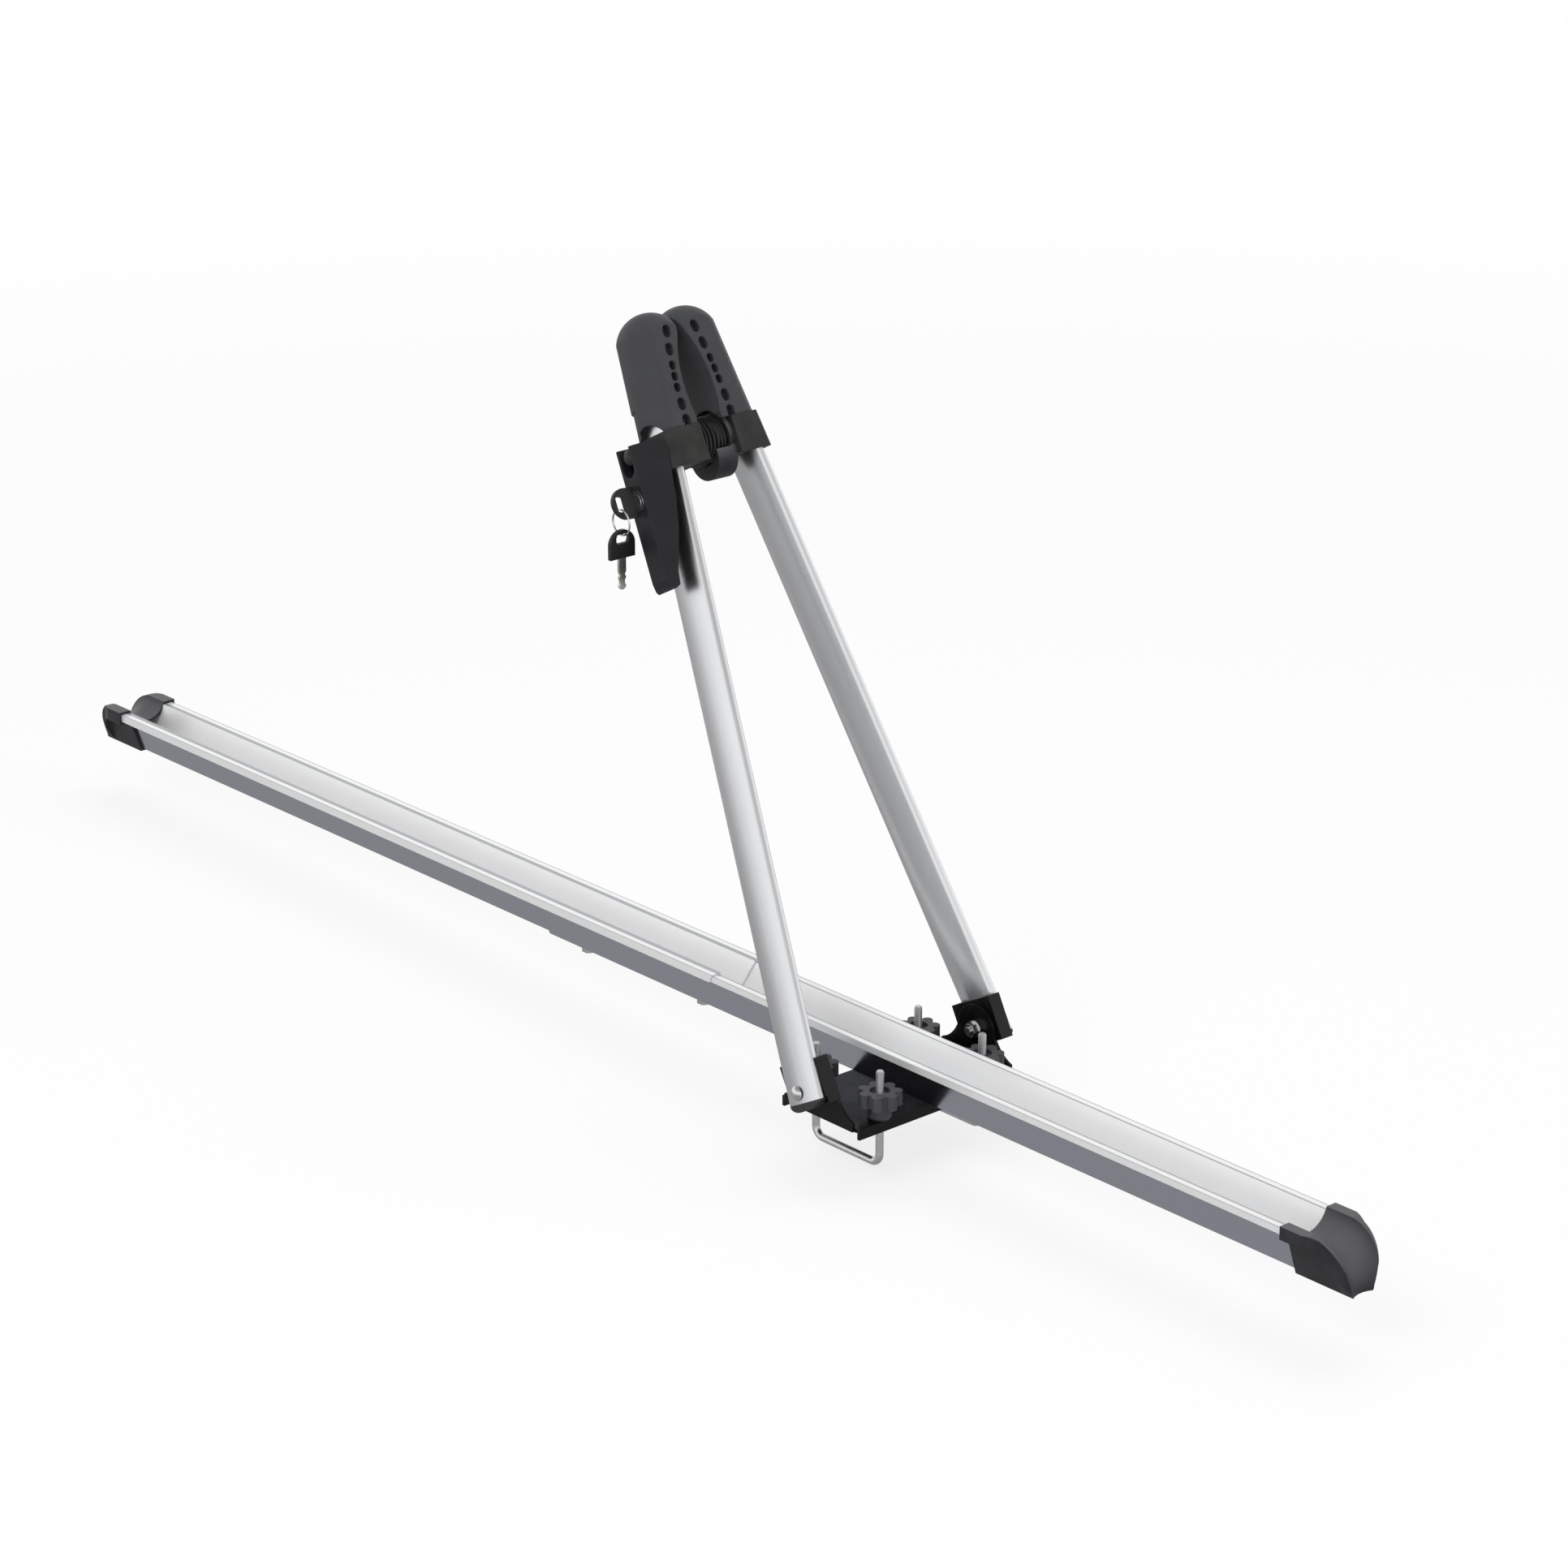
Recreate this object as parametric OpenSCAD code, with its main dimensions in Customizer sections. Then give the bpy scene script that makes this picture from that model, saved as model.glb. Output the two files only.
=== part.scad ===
// Roof mounted bike carrier: two nested wheel rails on a bracket that straps to a roof bar, and a
// pair of leaning arms whose padded jaws close on the bicycle frame by a locking cam lever.
// X runs along the rails to the front, Y across the roof, Z up. The origin is the middle of the
// rubber strip's underside, where the carrier sits on the roof bar.

/* [Rails] */
// Length of each of the two rails
rail_len = 828; // [700:1:900]
// Length over which the rear rail lies inside the front rail
rail_overlap = 221; // [180:1:260]
// Distance from the arm pivot axis to the front end of the rails
rail_front = 426; // [380:1:460]
// Sheet thickness of the rails
rail_sheet = 1.4; // [1:0.1:2]
// Width of the flat floor of the rails
rail_floor = 16; // [14:0.5:20]
// Width of the front rail over its walls, just under the lips
rail_wall_w = 39; // [36:0.5:42]
// Width of the front rail over its turned-down lips
rail_lip_w = 50.8; // [48:0.1:54]
// Height of the front rail
rail_h = 35.8; // [32:0.1:40]
// Height of the turned-down edge of each lip
rail_skirt = 5; // [4:0.5:8]
// Gap between the nested rails
rail_nest = 0.1; // [0.05:0.05:0.3]
// How much shorter the rear rail's floor is than its lips at its front end
rail_slant = 14; // [0:1:25]
// Distance from each lapped rail end to the nearest splice screw
splice_inset = 40; // [25:1:45]

/* [End caps] */
// Length of an end cap
cap_len = 52; // [48:1:56]
// Length of rail inside an end cap
cap_grip = 24; // [18:1:28]
// Wall of an end cap
cap_wall = 2.4; // [2:0.1:3]
// How fast the cap's scoop runs out towards the nose
cap_fade = 11; // [8:0.5:14]
// How much wider the cap's scooped top is than the rail's mouth, each side
cap_scoop_side = 1.2; // [0.8:0.1:2]
// Material left over the rail's upper inner corner
cap_rim_cover = 1.5; // [1:0.1:2]

/* [Base bracket] */
// Width of the bracket plate along the rail
plate_w = 84; // [80:1:96]
// Distance between the inner faces of the two ears
ear_gap = 156; // [150:1:170]
// Sheet thickness of the bracket
plate_t = 2.5; // [2:0.1:3]
// Height of the bracket's turned-down edges
flange_h = 8; // [6:0.5:8.4]
// Width of an ear where it leaves the plate
ear_w = 74; // [70:1:80]
// Radius of the round top of an ear
ear_r = 19; // [16:0.5:20]
// Thickness of the rubber strip under the plate
pad_t = 6; // [5.5:0.1:8]
// Width of the rubber strip
pad_w = 60; // [50:1:61]
// Length of the rubber strip
pad_len = 140; // [120:1:150]

/* [Bar clamps] */
// Distance between the two legs of a U-bolt
leg_gap = 69; // [69:0.5:72]
// Distance between the two U-bolts
ubolt_gap = 102.6; // [96:0.2:110]
// Thread diameter of the U-bolts
ubolt_d = 6; // [5:0.5:8]
// Height of a U-bolt's tips above the bracket plate
ubolt_tip = 36.8; // [34:0.1:40]
// Depth of a U-bolt's underside below the bracket plate
ubolt_drop = 40; // [36:0.5:50]
// Bend radius of a U-bolt's corners, at the middle of the rod
ubolt_bend = 8; // [6:0.5:12]
// Outer radius of a star knob
knob_r = 16.5; // [15:0.5:18]
// Height of a star knob
knob_h = 20; // [18:0.5:22]

/* [Arms] */
// Width of the flat-oval arm tube
tube_w = 38; // [36:0.5:40]
// Thickness of the flat-oval arm tube
tube_t = 15; // [14:0.5:16]
// Radius of the tube's narrow edges
tube_nose = 4; // [3.5:0.1:5]
// Wall of the arm tube
tube_wall = 1.5; // [1.2:0.1:2]
// Distance from the middle of the rail to each arm's middle at its pivot
pivot_y = 93; // [92.6:0.1:96]
// Height of the arm pivots above the bracket plate
pivot_h = 22; // [21:0.5:26]
// Backward lean of the arms
lean = 27.7; // [10:0.1:45]
// Inward lean of each arm
inward = 6.73; // [6:0.01:6.9]
// Length of the tube above the clamp rod
tube_top = 63; // [43:1:73]
// Distance from the pivot down to the tube's lower end
tube_low = 8; // [7:0.5:10]
// Depth of the domed end plug
plug_h = 6; // [5:0.5:8]
// Diameter of the pivot bolts
bolt_d = 6; // [5:0.5:8]

/* [Jaws and clamp] */
// Height of the clamp rod above the pivots, along the arm plane
rod_h = 477; // [470:1:480]
// Diameter of the clamp rod
rod_d = 6; // [5:0.5:8]
// Width of a jaw along the bicycle frame tube
jaw_w = 44; // [42:0.5:48]
// Radius of a jaw's round back
jaw_back_r = 25; // [24:0.5:28]
// Distance from the arm's middle to the outermost point of a jaw
jaw_out = 14; // [13:0.5:16]
// How far a jaw's tips reach past the middle between the arms, before the near jaw is trimmed
jaw_in = 1.08; // [-0.9:0.02:1.28]
// Height of a jaw's top above the clamp rod
jaw_top = 107; // [101:1:113]
// Height of the collars' upper face above the clamp rod
collar_top = 11; // [9:1:13]
// Depth of the collars' lower face below the clamp rod
collar_low = 17; // [12:1:19]
// Radius of the hollow in a jaw
jaw_hollow_r = 100; // [90:1:120]
// Outer diameter of the clamp spring
spring_od = 36; // [32:0.5:38]
// Wire diameter of the clamp spring
spring_wire = 1.6; // [1.2:0.1:1.6]
// Number of turns of the clamp spring
spring_turns = 8; // [6:1:10]

/* [Lever and lock] */
// Length of the lever below its barrel
lever_len = 102; // [95:1:110]
// Width of the lever's back edges at its head
lever_w = 42; // [40:0.5:44]
// Width of the lever's outer face
web_w = 18; // [17:0.5:20]
// Distance from the barrel's middle to the lever's outer face
web_y = 12.1; // [11.5:0.1:13]
// Tilt of the closed lever against the arm plane
lever_tilt = 3; // [0:0.5:5]
// Wall of the lever
lever_wall = 2.2; // [1.8:0.1:2.6]
// Radius of the lever's cam with the clamp closed
cam_r = 12; // [11.5:0.1:13]
// How far the cam lets the arms part when the lever is open
cam_throw = 4; // [3:0.1:4.5]
// Angle through which the lever opens
lever_swing = 90; // [80:1:95]
// Diameter of the lever's barrel
barrel_d = 10; // [9:0.5:11]
// Distance from the barrel down to the lock
lock_drop = 33; // [30:1:40]
// Diameter of the lock housing
lock_d = 16; // [14:0.5:18]
// Diameter of the lock plug
lock_plug_d = 11; // [10:0.5:12]
// Width of a key's bow
key_w = 23; // [20:0.5:24]
// Thickness of a key's bow
key_t = 3.2; // [2.8:0.1:3.6]
// Radius of the key ring, at the middle of the wire
ring_r = 9.5; // [8:0.5:11]

/* [Hidden] */
$fn = 64;

// Fits and gaps
run_gap = 0.05;
thread_gap = 0.08;
slip_gap = 0.15;
swing_gap = 0.3;
side_gap = 0.4;
over = 1;

// Heights of the bracket plate's top and of the arm pivots
rail_z = pad_t + plate_t;
pivot_z = rail_z + pivot_h;

// Small fasteners
head_r = 5.6;
head_h = 3;
nut_af = 10;
pad_hole_d = nut_af + 4;
nut_h = 5;
nut_flange_r = 6.6;
nut_flange_h = 1.6;
washer_r = 8;
washer_t = 1.5;

// Rails: the rear rail is the same sheet laid on the inside of the front one
nest = rail_sheet + rail_nest;
lip_under = rail_h - rail_sheet;
lip_in = rail_lip_w / 2 - rail_sheet;
skirt_end = rail_h - rail_skirt;
wall_run = (rail_wall_w - rail_floor) / 2;
wall_k = (norm([wall_run, lip_under]) - wall_run) / lip_under;
rail_rear = rail_front - 2 * rail_len + rail_overlap;
splice_from = rail_front - rail_len + splice_inset;
splice_to = rail_rear + rail_len - splice_inset;
rail_screw_gap = 44;

// End caps: where the roll starts, its radius, and how far its circle crosses the flats
cap_lead = 5;
cap_flat = cap_grip - cap_lead;
cap_bend = cap_len - cap_flat;
cap_cross = 0.3;
cap_mid = cap_flat + cap_bend / 2;
cap_mid_k = 0.74;

// Knobs
knob_z = rail_z + washer_t;
recess_r = 7.5;
recess_h = 3;
knob_lobes = 7;
knob_lobe_r = 4.2;
knob_core_r = knob_r - 4.5;
hub_r = 9;
hub_h = 9;

// Arms
ear_out = ear_gap / 2 + plate_t;
ear_scoop = 3;
ear_foot = 4;
saddle_in = ear_out + swing_gap;
saddle_up = 21;
saddle_down = 13;
saddle_wall = 2.5;
plug_edge = 0.8;
plug_rise = plug_h - plug_edge;
plug_curve_r = (tube_w * tube_w / 4 + plug_rise * plug_rise) / (2 * plug_rise);
tube_spare = 60;
plug_spigot = 3.5;
tube_half_y = tube_t / 2 / cos(inward);
head_lift = 0.9;

// Collars, rod and spring
collar_wall = 2.5;
collar_cut = 4;
collar_face = tube_t / 2 + collar_wall;
collar_out = pivot_y - rod_h * tan(inward) + collar_face / cos(inward);
near_collar_in = 14;
far_collar_in = 17.5;
near_collar_w = 47;
far_collar_w = 45;
rod_hole_r = rod_d / 2 + 1.2;
seat_r = washer_r + side_gap;
nut_seat = collar_out - seat_r * tan(inward);
guide_r = 11;
guide_h = 6;
cup_in = 6;
cup_flange_t = 4;
cup_r = 13;
cup_flange_r = spring_od / 2 + 1;
chin_r = 17;
chin_drop = 13;
chin_in = -1;
chin_room_r = cup_flange_r + 0.6;
spring_room_r = cup_flange_r + 2;
spring_r = (spring_od - spring_wire) / 2;
spring_from = swing_gap + spring_wire / 2 - near_collar_in;
spring_to = far_collar_in - cup_flange_t - swing_gap - spring_wire / 2;
spring_rings = 8;
spring_sides = 6;

// Jaws, in the arm's own frame
jaw_low = rod_h - 37;
jaw_end = rod_h + jaw_top;
collar_up = rod_h + collar_top;
collar_down = rod_h - collar_low;
tube_end = rod_h + tube_top;
jaw_reach = (pivot_y - jaw_end * tan(inward)) * cos(inward) + jaw_in;
dome_cross = 0.8;
hollow_mid = rod_h + 54;
jaw_lip = 5;
hollow_depth = jaw_reach - jaw_lip;
near_trim = 4;
// Cushioning holes: heights from the hollow's middle, the smaller ones at the middle, and depth
hole_rises = [-34.5, -22, -9.4, -1, 7.4, 19.6, 33.4];
hole_near = 12;
hole_inset = 6.3;
hole_path_r = 300;
hole_w = 7.4;
hole_len = 9.8;
small_hole_w = 6;
small_hole_len = 7.2;
hole_depth = 6;
hole_waist = 0.96;
arch_r = 13;
arch_x = 5;
arch_sink = 3;
ledge = 1.4;
ledge_top = rod_h + 35;
ledge_x = -4;

// Lever and lock, from the barrel
cam_gap = 0.5;
lever_y = collar_out + cam_r + cam_gap;
flank_k = (lever_w - web_w) / 2 / (cam_r + web_y);
flank_n = norm([1, flank_k]);
function flank_x(y) = web_w / 2 + (y + web_y) * flank_k;
lever_top = 7;
cam_relief = 0.3;
lever_ease = 3;
lever_waist_y = 5;
lever_waist = 43;
lever_hip = 68;
// Rounded tip of the lever, from its outer face and its end
lever_tip = [[0, 8], [2, 2], [5, 0], [8, 2], [9, 11]];
barrel_cover = 1;
barrel_len = 2 * (flank_x(-barrel_d / 2) - barrel_cover);
slot_w = 13.4;
slot_mid = 8.5;
rod_end_r = 5.8;
rod_end_h = 4;
rod_end_dome = 3;
lock_face = web_y + 1;
lock_depth = 25;
lock_floor = 1.4;
plug_proud = 0.3;

// Keys and ring
bow_gap = 0.6;
bow_len = 21.5;
bow_rim = 3.2;
bow_hole_w = 7;
bow_hole_len = 12;
neck_len = 6;
blade_w = 6.6;
blade_t = 2;
blade_len = 18;
notch = 1.2;
key_gap = 0.1;
ring_wire = 1.4;
ring_lift = 2.2;

// Points in the arm plane and in the lever's frame, as places of the whole carrier
function tilted(p) = [p[0], p[1] * cos(lever_tilt) + p[2] * sin(lever_tilt),
  p[2] * cos(lever_tilt) - p[1] * sin(lever_tilt)];
function in_plane(p) = [p[0] * cos(lean) - p[2] * sin(lean), p[1],
  p[0] * sin(lean) + p[2] * cos(lean) + pivot_z];
function lever_place(p) = in_plane(tilted(p) + [0, -lever_y, rod_h]);

key_y = lock_face + bow_gap;
ring_top = lever_place([0, -key_y - bow_len + bow_rim + bow_hole_w / 2,
  -lock_drop - bow_hole_len / 2 + ring_lift]);
ring_mid = ring_top - [0, 0, ring_r];
spare_place = ring_mid - [0, 0, ring_r + bow_len - bow_rim - ring_wire / 2 - swing_gap];

module arm_plane() translate([0, 0, pivot_z]) rotate([0, -lean, 0]) children();
module tube_line() translate([0, -pivot_y, 0]) rotate([-inward, 0, 0]) children();
module lever_line() arm_plane() translate([0, -lever_y, rod_h]) rotate([-lever_tilt, 0, 0]) children();
module rod_line() arm_plane() translate([0, 0, rod_h]) children();
module far_side() mirror([0, 1, 0]) children();
module along_y(d, from, to) translate([0, to, 0]) rotate([90, 0, 0]) cylinder(d = d, h = to - from);
module along_x(d, len) rotate([0, 90, 0]) cylinder(d = d, h = len, center = true);
// Flat outline drawn in Y and Z, as thick as len from X = 0
module yz_slab(len) rotate([90, 0, 90]) linear_extrude(len) children();
// Flat outline drawn in X and Z, reaching from one Y to another
module xz_slab(from, to) translate([0, to, 0]) rotate([90, 0, 0]) linear_extrude(to - from) children();
module hex(h, gap = 0) cylinder(d = (nut_af + 2 * gap) / cos(30), h = h, $fn = 6);
module dome(r, h) {
  ball_r = (r * r + h * h) / (2 * h);
  intersection() {
    translate([0, 0, h - ball_r]) sphere(ball_r);
    translate([-2 * r, -2 * r, 0]) cube([4 * r, 4 * r, h + over]);
  }
}
module nut(bore_d) difference() {
  hex(nut_h);
  translate([0, 0, -over]) cylinder(d = bore_d + 2 * thread_gap, h = nut_h + 2 * over);
}
module screw(len) {
  dome(head_r, head_h);
  translate([0, 0, -len]) cylinder(d = bolt_d, h = len);
}
module at_studs() for (x = [-1, 1], y = [-1, 1])
  translate([x * leg_gap / 2, y * ubolt_gap / 2, 0]) children();

// Right half of the rail sheet's underside, raised by d on its inner side
function rail_half(d, drop = 0) = [
  [rail_floor / 2 - d * wall_k, d], [rail_wall_w / 2 - d * wall_k, lip_under + d],
  [lip_in + d, lip_under + d], [lip_in + d, skirt_end - drop]];
function mirrored(half) = [for (i = [len(half) - 1:-1:0]) [-half[i][0], half[i][1]]];
function both(half) = concat(mirrored(half), half);
function backward(pts) = [for (i = [len(pts) - 1:-1:0]) pts[i]];
// Section of a sheet whose underside is raised by d, with a gap all round it
module sheet_section(d, gap = 0)
  polygon(concat(both(rail_half(d - gap, gap)), backward(both(rail_half(d + rail_sheet + gap, gap)))));

module rail(d) yz_slab(rail_len) sheet_section(d);
module floor_hole(x) translate([x, 0, rail_z - over])
  cylinder(d = bolt_d + 2 * slip_gap, h = nest + rail_sheet + 2 * over);

module rear_rail() color("silver") difference() {
  translate([rail_rear, 0, rail_z]) rail(nest);
  translate([rail_rear + rail_len, 0, rail_z]) xz_slab(-rail_lip_w, rail_lip_w)
    polygon([[-rail_slant, 0], [over, 0], [over, rail_h + nest], [0, rail_h + nest]]);
  for (x = [splice_from, splice_to]) floor_hole(x);
}

module front_rail() color("silver") difference() {
  translate([rail_front - rail_len, 0, rail_z]) rail(0);
  for (x = [splice_from, splice_to, -rail_screw_gap / 2, rail_screw_gap / 2]) floor_hole(x);
}

// An end cap round a rail raised by d: its underside, its top and the half width of its walls
function cap_low(d) = d - cap_wall;
function cap_top(d) = lip_under + d + rail_sheet + cap_wall;
function cap_wall_y(d, z) = rail_floor / 2 - cap_low(d) * wall_k + (z - cap_low(d)) * wall_run / lip_under;
// Side view of a cap: flat over the rail's lips, then rolling down to an upright nose
module cap_side(d, inset) intersection() {
  translate([-over, cap_low(d) + inset])
    square([cap_len - inset + over, cap_top(d) - cap_low(d) - 2 * inset]);
  union() {
    translate([cap_flat, cap_top(d) - cap_bend]) circle(cap_bend + cap_cross - inset);
    translate([-over, cap_low(d)]) square([cap_flat + over, cap_top(d) - cap_low(d)]);
    translate([-over, cap_low(d)]) square([cap_len + over, cap_top(d) - cap_bend - cap_low(d)]);
  }
}
// Brim of a cap: covers the rail's lips, then follows the roll and narrows to the nose
module cap_brim(d) {
  side = lip_in + d + rail_sheet + cap_wall;
  nose = cap_wall_y(d, cap_low(d) + cap_wall);
  height = cap_top(d) - skirt_end + cap_wall;
  intersection() {
    xz_slab(-rail_lip_w, rail_lip_w) difference() {
      cap_side(d, 0);
      translate([cap_flat, cap_top(d) - cap_bend]) circle(cap_bend - height);
      translate([-2 * over, -rail_h]) square([cap_flat + 2 * over, cap_top(d) - height + rail_h]);
      translate([-over, -rail_h]) square([cap_len - height + over, cap_top(d) - cap_bend + rail_h]);
    }
    translate([0, 0, -rail_h]) linear_extrude(3 * rail_h) polygon([
      [-over, -side], [cap_flat, -side], [cap_mid, -cap_mid_k * side], [cap_len, -nose],
      [cap_len, nose], [cap_mid, cap_mid_k * side], [cap_flat, side], [-over, side]]);
    yz_slab(cap_len) polygon(both([[cap_wall_y(d, cap_low(d)), cap_low(d)],
      [side, cap_top(d) - height], [side, cap_top(d)]]));
  }
}
// Scoop in a cap's top: straight over the rail, then rolling down and running out
module cap_scoop(d, grow) {
  mouth = rail_half(d + rail_sheet)[1];
  r = mouth[0] + cap_scoop_side;
  z = mouth[1] + cap_rim_cover + sqrt(r * r - mouth[0] * mouth[0]);
  axis_z = cap_top(d) - cap_bend - cap_fade;
  translate([-cap_len, 0, z]) rotate([0, 90, 0]) cylinder(r = r + grow, h = cap_len + cap_flat);
  translate([cap_flat, 0, axis_z]) rotate([90, 0, 0]) rotate_extrude(angle = 90)
    translate([z - axis_z, 0]) circle(r + grow);
}
module end_cap(d) difference() {
  union() {
    intersection() {
      yz_slab(cap_len) polygon(both([for (z = [cap_low(d), cap_top(d)]) [cap_wall_y(d, z), z]]));
      xz_slab(-rail_lip_w, rail_lip_w) cap_side(d, 0);
    }
    cap_brim(d);
  }
  cap_scoop(d, 0);
  translate([-over, 0, 0]) yz_slab(cap_grip + over) sheet_section(d, slip_gap);
  intersection() {
    difference() {
      translate([-over, 0, 0]) yz_slab(cap_len)
        polygon(both([for (i = [0, 1]) rail_half(d + rail_sheet)[i]]));
      cap_scoop(d, cap_wall);
    }
    xz_slab(-rail_lip_w, rail_lip_w) cap_side(d, cap_wall);
  }
}

module front_end_cap() color("dimgray") translate([rail_front - cap_grip, 0, rail_z]) end_cap(0);

module rear_end_cap() color("dimgray") translate([rail_rear + cap_grip, 0, rail_z])
  mirror([1, 0, 0]) end_cap(nest);

module splice_screws() color("lightgray") for (x = [splice_from, splice_to])
  translate([x, 0, rail_z + nest + rail_sheet]) screw(nest + rail_sheet + nut_h + over);

module splice_nuts() color("gray") for (x = [splice_from, splice_to])
  translate([x, 0, rail_z - nut_h]) nut(bolt_d);

module rail_screws() color("lightgray") for (x = [-1, 1])
  translate([x * rail_screw_gap / 2, 0, rail_z + rail_sheet]) screw(rail_sheet + plate_t + nut_h);

module rail_nuts() color("gray") for (x = [-1, 1])
  translate([x * rail_screw_gap / 2, 0, rail_z - plate_t - nut_h]) nut(bolt_d);

// Outline of an ear: round top over the pivot, sides drawn in by an arc
module ear_outline() {
  foot = [ear_w / 2, rail_z + ear_foot];
  neck = [ear_r, pivot_z];
  chord = neck - foot;
  scoop_r = (chord * chord / 4 + ear_scoop * ear_scoop) / (2 * ear_scoop);
  out = [chord[1], -chord[0]] / norm(chord);
  middle = (foot + neck) / 2 + out * (scoop_r - ear_scoop);
  difference() {
    polygon(both([[ear_w / 2, pad_t], foot, neck]));
    for (s = [-1, 1]) translate([s * middle[0], middle[1]]) circle(scoop_r);
  }
  translate([0, pivot_z]) circle(ear_r);
}

module base_bracket() color([0.12, 0.12, 0.13]) difference() {
  union() {
    translate([-plate_w / 2, -ear_gap / 2, pad_t]) cube([plate_w, ear_gap, plate_t]);
    translate([-ear_w / 2, -ear_out, pad_t]) cube([ear_w, 2 * ear_out, plate_t]);
    for (x = [-plate_w / 2, plate_w / 2 - plate_t])
      translate([x, -ear_gap / 2, rail_z - flange_h]) cube([plate_t, ear_gap, flange_h]);
    for (s = [0, 1]) mirror([0, s, 0]) xz_slab(ear_gap / 2, ear_out) ear_outline();
  }
  at_studs() translate([0, 0, pad_t - over]) cylinder(d = ubolt_d + over, h = plate_t + 2 * over);
  for (x = [-1, 1]) translate([x * rail_screw_gap / 2, 0, pad_t - over])
    cylinder(d = bolt_d + 2 * slip_gap, h = plate_t + 2 * over);
  translate([0, 0, pivot_z]) along_y(bolt_d + 2 * run_gap, -ear_out - over, ear_out + over);
}

module bar_pad() color([0.16, 0.16, 0.16]) difference() {
  translate([-pad_w / 2, -pad_len / 2, 0]) cube([pad_w, pad_len, pad_t]);
  for (x = [-1, 1]) translate([x * rail_screw_gap / 2, 0, -over])
    cylinder(d = pad_hole_d, h = pad_t + 2 * over);
}

module knob_washers() color("lightgray") at_studs() translate([0, 0, rail_z]) difference() {
  cylinder(r = washer_r, h = washer_t);
  translate([0, 0, -over]) cylinder(d = ubolt_d + over, h = washer_t + 2 * over);
}

module ubolt() {
  low = rail_z - ubolt_drop + ubolt_d / 2;
  tip = 1.2;
  top = rail_z + ubolt_tip;
  for (s = [0, 1]) mirror([s, 0, 0]) translate([leg_gap / 2, 0, 0]) {
    translate([0, 0, low + ubolt_bend]) cylinder(d = ubolt_d, h = top - tip - low - ubolt_bend);
    translate([0, 0, top - tip]) cylinder(d1 = ubolt_d, d2 = ubolt_d - tip, h = tip);
    translate([-ubolt_bend, 0, low + ubolt_bend]) mirror([0, 0, 1]) rotate([90, 0, 0])
      rotate_extrude(angle = 90) translate([ubolt_bend, 0]) circle(d = ubolt_d);
  }
  translate([0, 0, low]) along_x(ubolt_d, leg_gap - 2 * ubolt_bend);
}

module near_ubolt() color("lightgray") translate([0, -ubolt_gap / 2, 0]) ubolt();

module far_ubolt() color("lightgray") translate([0, ubolt_gap / 2, 0]) ubolt();

// Star knob with a recess in its top for a nut
module star_knob() difference() {
  union() {
    cylinder(r = hub_r, h = hub_h + over);
    translate([0, 0, hub_h]) linear_extrude(knob_h - hub_h) {
      circle(knob_core_r);
      for (i = [0:knob_lobes - 1]) rotate(i * 360 / knob_lobes)
        translate([knob_r - knob_lobe_r, 0]) circle(knob_lobe_r);
    }
  }
  translate([0, 0, knob_h - recess_h]) cylinder(r = recess_r, h = recess_h + over);
  translate([0, 0, knob_h - recess_h - nut_h]) hex(nut_h + over, slip_gap);
  translate([0, 0, -over]) cylinder(d = ubolt_d + 2 * side_gap, h = knob_h);
}
module knob_at(x, y) color([0.24, 0.24, 0.25])
  translate([x * leg_gap / 2, y * ubolt_gap / 2, knob_z]) star_knob();
module insert_at(x, y) color("gray")
  translate([x * leg_gap / 2, y * ubolt_gap / 2, knob_z + knob_h - recess_h - nut_h]) nut(ubolt_d);

module near_front_knob() knob_at(1, -1);
module near_rear_knob() knob_at(-1, -1);
module far_front_knob() knob_at(1, 1);
module far_rear_knob() knob_at(-1, 1);
module near_front_insert() insert_at(1, -1);
module near_rear_insert() insert_at(-1, -1);
module far_front_insert() insert_at(1, 1);
module far_rear_insert() insert_at(-1, 1);

module pivot_bolt() {
  seat = pivot_y + tube_half_y + head_lift;
  translate([0, -seat, pivot_z]) rotate([90, 0, 0]) dome(head_r, head_h);
  translate([0, 0, pivot_z]) along_y(bolt_d, -seat, -ear_gap / 2 + nut_flange_h + nut_h + 2 * over);
}
module pivot_bolts() color("lightgray") {
  pivot_bolt();
  far_side() pivot_bolt();
}

module pivot_nut() translate([0, run_gap - ear_gap / 2, pivot_z]) rotate([-90, 0, 0]) difference() {
  union() {
    cylinder(r = nut_flange_r, h = nut_flange_h);
    hex(nut_flange_h + nut_h);
  }
  translate([0, 0, -over]) cylinder(d = bolt_d + 2 * thread_gap, h = nut_flange_h + nut_h + 2 * over);
}
module pivot_nuts() color("lightgray") {
  pivot_nut();
  far_side() pivot_nut();
}

// Flat oval made of two flank arcs and two nose arcs that run into each other
module oval(grow = 0) {
  nose = tube_nose + grow;
  half_t = tube_t / 2 + grow;
  nose_x = tube_w / 2 - tube_nose;
  flank = (nose_x * nose_x + half_t * half_t - nose * nose) / (2 * (half_t - nose));
  meet = nose_x * flank / (flank - nose);
  intersection() {
    translate([0, half_t - flank]) circle(flank);
    translate([0, flank - half_t]) circle(flank);
    square([2 * meet, 2 * half_t + over], center = true);
  }
  for (s = [-1, 1]) translate([s * nose_x, 0]) circle(nose);
}
module oval_bar(grow = 0) tube_line() translate([0, 0, -tube_spare])
  linear_extrude(tube_end + 2 * tube_spare) oval(grow);
module between(low, high) translate([-tube_w, -pivot_y - tube_w, low])
  cube([2 * tube_w, 2 * pivot_y, high - low]);

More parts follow.
